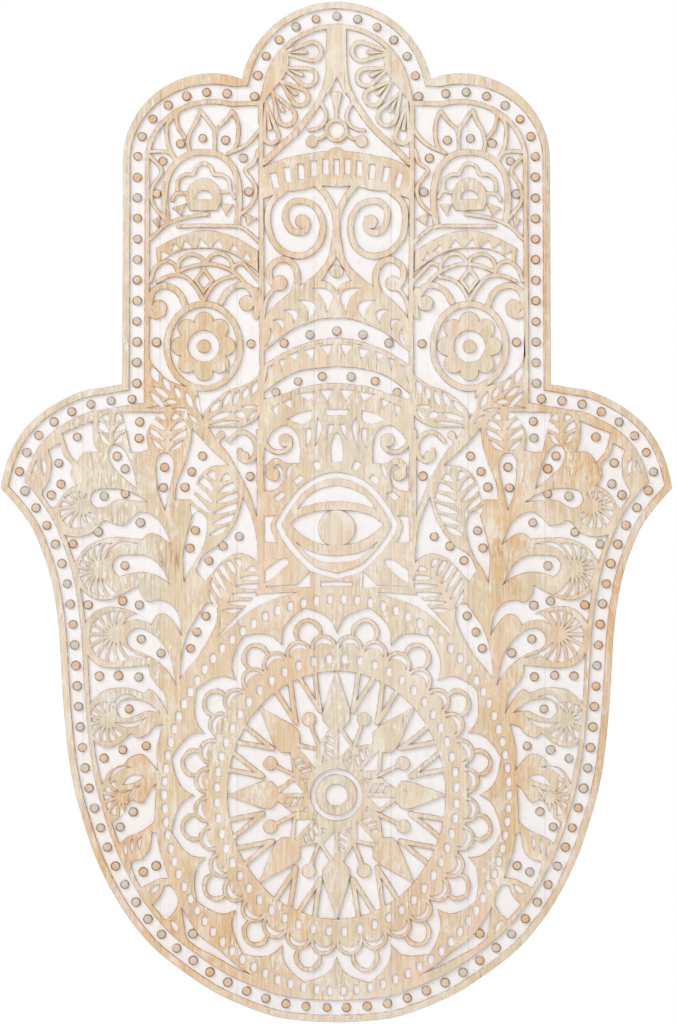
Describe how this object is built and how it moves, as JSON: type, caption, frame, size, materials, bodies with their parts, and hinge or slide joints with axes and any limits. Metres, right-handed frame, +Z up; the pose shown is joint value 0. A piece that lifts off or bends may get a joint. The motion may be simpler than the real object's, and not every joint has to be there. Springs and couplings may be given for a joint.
{
  "type": "carved hamsa hand wall plaque",
  "caption": "Hand-shaped wall plaque of edge-glued wooden staves with a carved front, back battens and swinging D-ring hangers.",
  "frame": {"origin": "middle of the upper batten's wall face, on the hand's middle line", "axes": "+X across the hand, to the viewer's right, +Y from the hand back into the wall, +Z up towards the middle fingertip; the carved front faces -Y"},
  "size_m": [0.401, 0.026, 0.6094],
  "materials": {
    "carved_wood": "white-washed in the carved ground, sanded back to bare wood on the tops",
    "batten_wood": "bare sawn wood",
    "hanger_steel": "bright zinc",
    "screw_steel": "yellow zinc"
  },
  "bodies": {
    "plaque": {"stave_1": "carved_wood", "stave_2": "carved_wood", "stave_3": "carved_wood", "stave_4": "carved_wood", "stave_5": "carved_wood", "stave_6": "carved_wood", "stave_7": "carved_wood", "stave_8": "carved_wood", "stave_9": "carved_wood", "batten_upper": "batten_wood", "batten_lower": "batten_wood", "screws_upper": "screw_steel", "screws_lower": "screw_steel", "hanger_strap_left": "hanger_steel", "hanger_strap_right": "hanger_steel", "hanger_screws_left": "screw_steel", "hanger_screws_right": "screw_steel"},
    "ring_left": {"hanger_ring_left": "hanger_steel"},
    "ring_right": {"hanger_ring_right": "hanger_steel"}
  },
  "joints": [
    {"name": "ring_left_swing", "type": "hinge", "parent": "plaque", "child": "ring_left", "pos_m": [-0.084, -0.00514, 0.062], "axis": [1, 0, 0], "range_deg": [0, 180]},
    {"name": "ring_right_swing", "type": "hinge", "parent": "plaque", "child": "ring_right", "pos_m": [0.084, -0.00514, 0.062], "axis": [1, 0, 0], "range_deg": [0, 180]}
  ]
}
